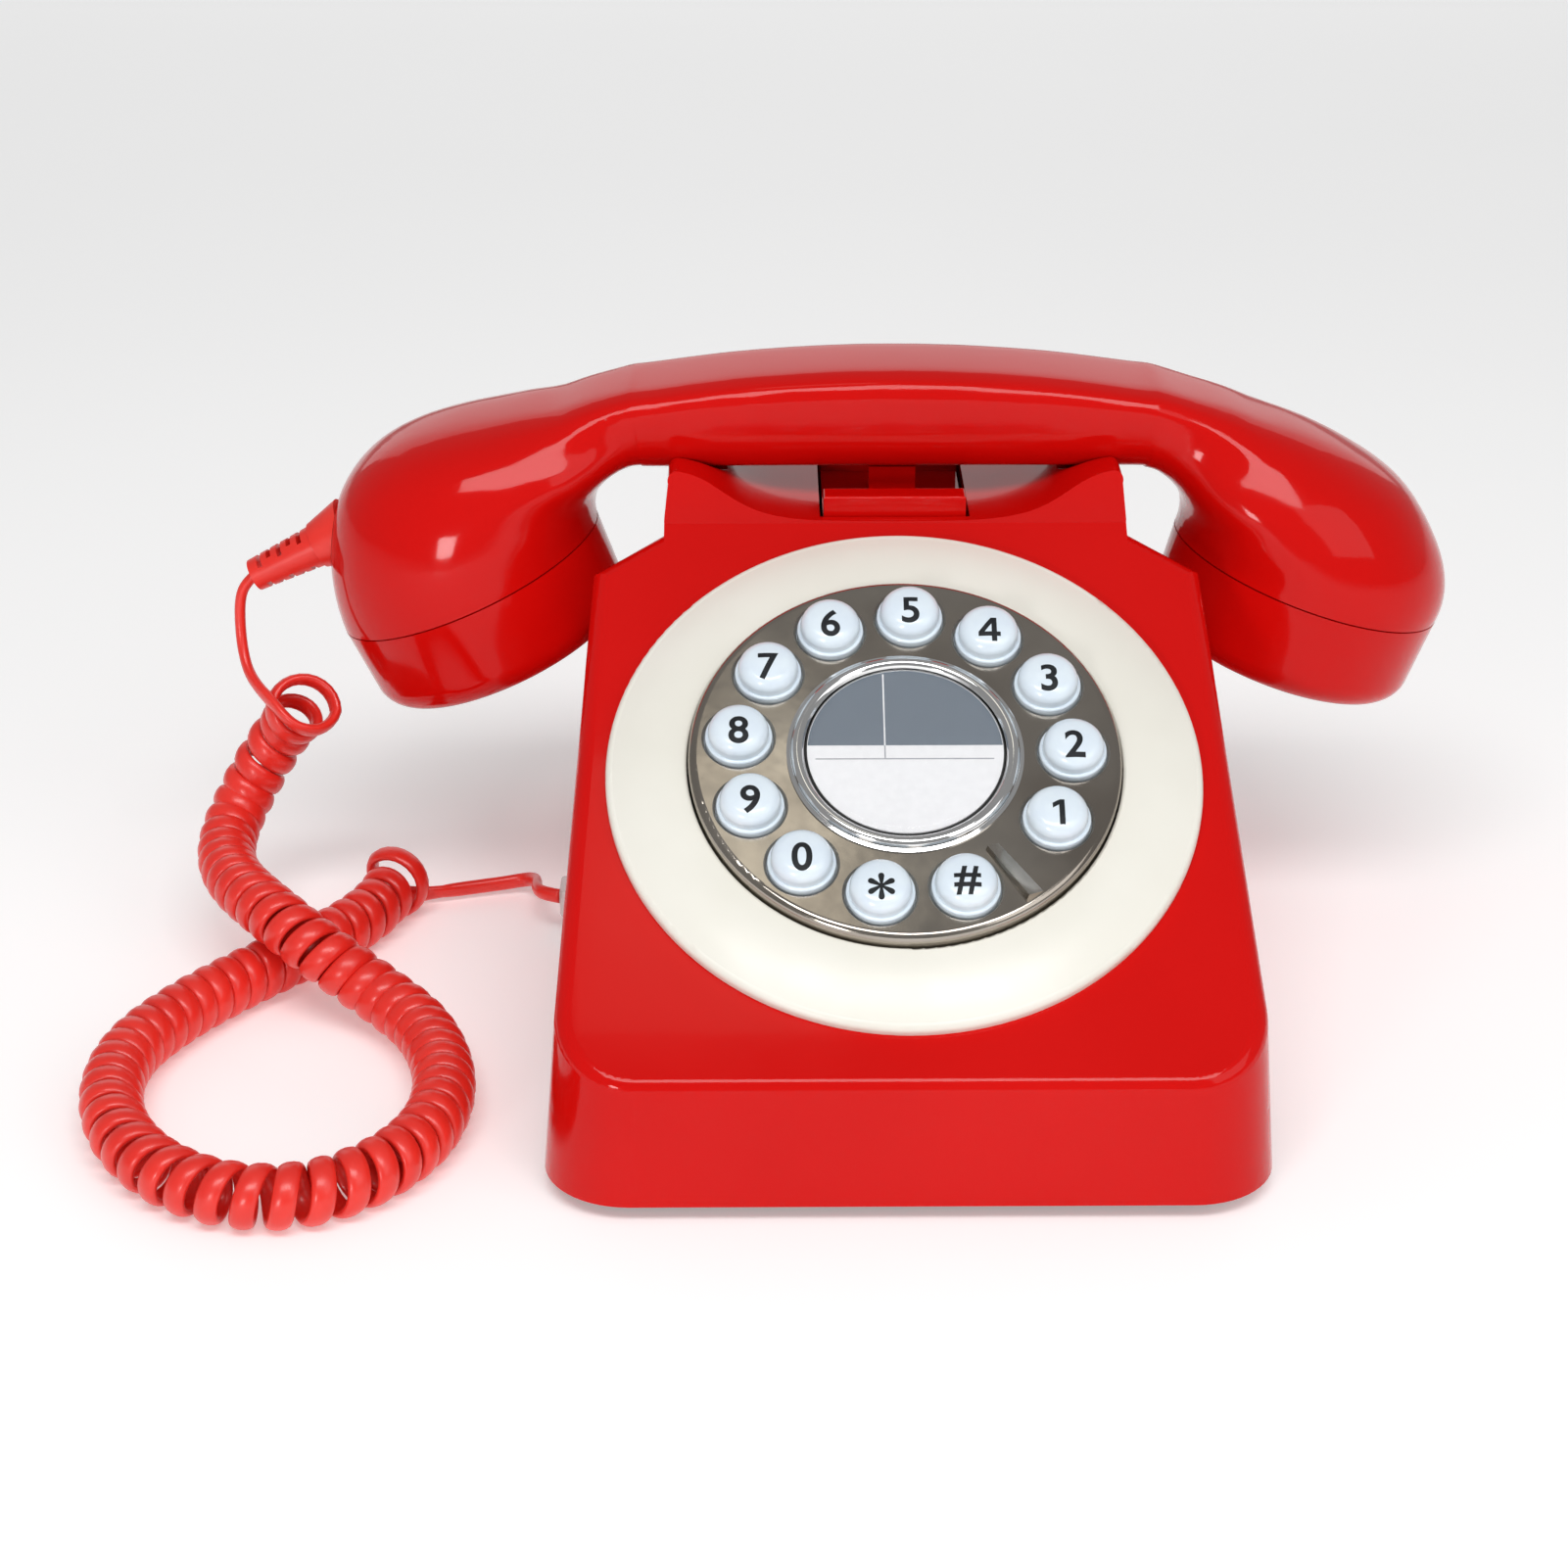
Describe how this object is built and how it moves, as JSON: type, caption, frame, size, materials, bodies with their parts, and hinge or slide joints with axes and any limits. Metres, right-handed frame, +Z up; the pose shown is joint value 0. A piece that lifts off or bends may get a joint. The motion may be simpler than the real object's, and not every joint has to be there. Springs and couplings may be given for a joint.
{
  "type": "desk telephone",
  "caption": "Desk telephone with a sloping front, round push keys set in a ring, a lift-off handset on a horned cradle and a curly cord.",
  "frame": {"origin": "on the surface it stands on, under the middle of the telephone without its cord", "axes": "+X to the right as the user faces the dial, +Y to the rear, +Z up"},
  "size_m": [0.2871, 0.215, 0.1285],
  "materials": {
    "red_gloss": "high gloss",
    "cream_satin": "satin",
    "dark_chrome": "polished, smoked",
    "bright_chrome": "polished",
    "key_white": "gloss",
    "printed_label": "printed card",
    "clear_window": "clear",
    "clear_plug": "clear moulded",
    "cord_red": "soft sheen",
    "black_plastic": "matte",
    "black_rubber": "matte",
    "dark_sheet": "satin",
    "zinc_steel": "plated",
    "spring_steel": "bright",
    "speaker_metal": "satin",
    "board_green": "lacquered",
    "grey_insulation": "satin",
    "grey_silicone": "matte"
  },
  "bodies": {
    "base": {"case_shell": "red_gloss", "base_plate": "dark_sheet", "rubber_feet": "black_rubber", "base_screws": "zinc_steel", "ballast_plate": "zinc_steel", "main_board": "board_green", "board_parts": "black_plastic", "board_screws": "zinc_steel", "hook_switch": "black_plastic", "hook_springs": "spring_steel", "ringer_speaker": "speaker_metal", "ringer_switch": "black_plastic", "line_jack": "black_plastic", "handset_jack": "black_plastic", "ribbon_cable": "grey_insulation", "dial_bezel": "cream_satin", "dial_plate": "dark_chrome", "centre_ring": "bright_chrome", "finger_stop": "dark_chrome", "key_carrier": "black_plastic", "key_mat": "grey_silicone", "keypad_board": "board_green", "dial_screws": "zinc_steel", "clamp_ring": "black_plastic", "clamp_screws": "zinc_steel", "cord_lead": "cord_red", "cord_coil": "cord_red", "cord_tail": "cord_red", "cord_plug": "clear_plug"},
    "hook": {"hook_yoke": "red_gloss"},
    "slider": {"ringer_slider": "black_plastic"},
    "redial": {"redial_button": "black_plastic", "label_disc": "printed_label", "label_window": "clear_window"},
    "handset": {"handset_shell": "red_gloss", "mouthpiece_cap": "red_gloss", "earpiece_cap": "red_gloss", "microphone_capsule": "speaker_metal", "receiver_capsule": "speaker_metal", "handset_weight": "zinc_steel", "handset_wires": "grey_insulation", "cord_gland": "cord_red", "cord_boot": "cord_red"},
    "key_1_body": {"key_1": "key_white"},
    "key_2_body": {"key_2": "key_white"},
    "key_3_body": {"key_3": "key_white"},
    "key_4_body": {"key_4": "key_white"},
    "key_5_body": {"key_5": "key_white"},
    "key_6_body": {"key_6": "key_white"},
    "key_7_body": {"key_7": "key_white"},
    "key_8_body": {"key_8": "key_white"},
    "key_9_body": {"key_9": "key_white"},
    "key_0_body": {"key_0": "key_white"},
    "key_star_body": {"key_star": "key_white"},
    "key_hash_body": {"key_hash": "key_white"}
  },
  "joints": [
    {"name": "handset_lift", "type": "slide", "parent": "base", "child": "handset", "axis": [0, 0, 1], "range_m": [0, 0.07]},
    {"name": "hook_rise", "type": "slide", "parent": "base", "child": "hook", "axis": [0, 0, 1], "range_m": [0, 0.004], "stiffness_N_per_m": 60, "springref_m": 0.008, "deforming": ["hook_springs"]},
    {"name": "ringer_select", "type": "slide", "parent": "base", "child": "slider", "axis": [1, 0, 0], "range_m": [-0.0032, 0.0032]},
    {"name": "redial_press", "type": "slide", "parent": "base", "child": "redial", "axis": [0, 0.5249, -0.8512], "range_m": [0, 0.0015], "stiffness_N_per_m": 500, "springref_m": -0.0012},
    {"name": "key_1_press", "type": "slide", "parent": "base", "child": "key_1_body", "axis": [0, 0.5249, -0.8512], "range_m": [0, 0.0018], "stiffness_N_per_m": 350, "springref_m": -0.001},
    {"name": "key_2_press", "type": "slide", "parent": "base", "child": "key_2_body", "axis": [0, 0.5249, -0.8512], "range_m": [0, 0.0018], "stiffness_N_per_m": 350, "springref_m": -0.001},
    {"name": "key_3_press", "type": "slide", "parent": "base", "child": "key_3_body", "axis": [0, 0.5249, -0.8512], "range_m": [0, 0.0018], "stiffness_N_per_m": 350, "springref_m": -0.001},
    {"name": "key_4_press", "type": "slide", "parent": "base", "child": "key_4_body", "axis": [0, 0.5249, -0.8512], "range_m": [0, 0.0018], "stiffness_N_per_m": 350, "springref_m": -0.001},
    {"name": "key_5_press", "type": "slide", "parent": "base", "child": "key_5_body", "axis": [0, 0.5249, -0.8512], "range_m": [0, 0.0018], "stiffness_N_per_m": 350, "springref_m": -0.001},
    {"name": "key_6_press", "type": "slide", "parent": "base", "child": "key_6_body", "axis": [0, 0.5249, -0.8512], "range_m": [0, 0.0018], "stiffness_N_per_m": 350, "springref_m": -0.001},
    {"name": "key_7_press", "type": "slide", "parent": "base", "child": "key_7_body", "axis": [0, 0.5249, -0.8512], "range_m": [0, 0.0018], "stiffness_N_per_m": 350, "springref_m": -0.001},
    {"name": "key_8_press", "type": "slide", "parent": "base", "child": "key_8_body", "axis": [0, 0.5249, -0.8512], "range_m": [0, 0.0018], "stiffness_N_per_m": 350, "springref_m": -0.001},
    {"name": "key_9_press", "type": "slide", "parent": "base", "child": "key_9_body", "axis": [0, 0.5249, -0.8512], "range_m": [0, 0.0018], "stiffness_N_per_m": 350, "springref_m": -0.001},
    {"name": "key_0_press", "type": "slide", "parent": "base", "child": "key_0_body", "axis": [0, 0.5249, -0.8512], "range_m": [0, 0.0018], "stiffness_N_per_m": 350, "springref_m": -0.001},
    {"name": "key_star_press", "type": "slide", "parent": "base", "child": "key_star_body", "axis": [0, 0.5249, -0.8512], "range_m": [0, 0.0018], "stiffness_N_per_m": 350, "springref_m": -0.001},
    {"name": "key_hash_press", "type": "slide", "parent": "base", "child": "key_hash_body", "axis": [0, 0.5249, -0.8512], "range_m": [0, 0.0018], "stiffness_N_per_m": 350, "springref_m": -0.001}
  ],
  "couplings": [
    {"joint": "hook_rise", "follows": "handset_lift", "ratio": 0.057}
  ]
}
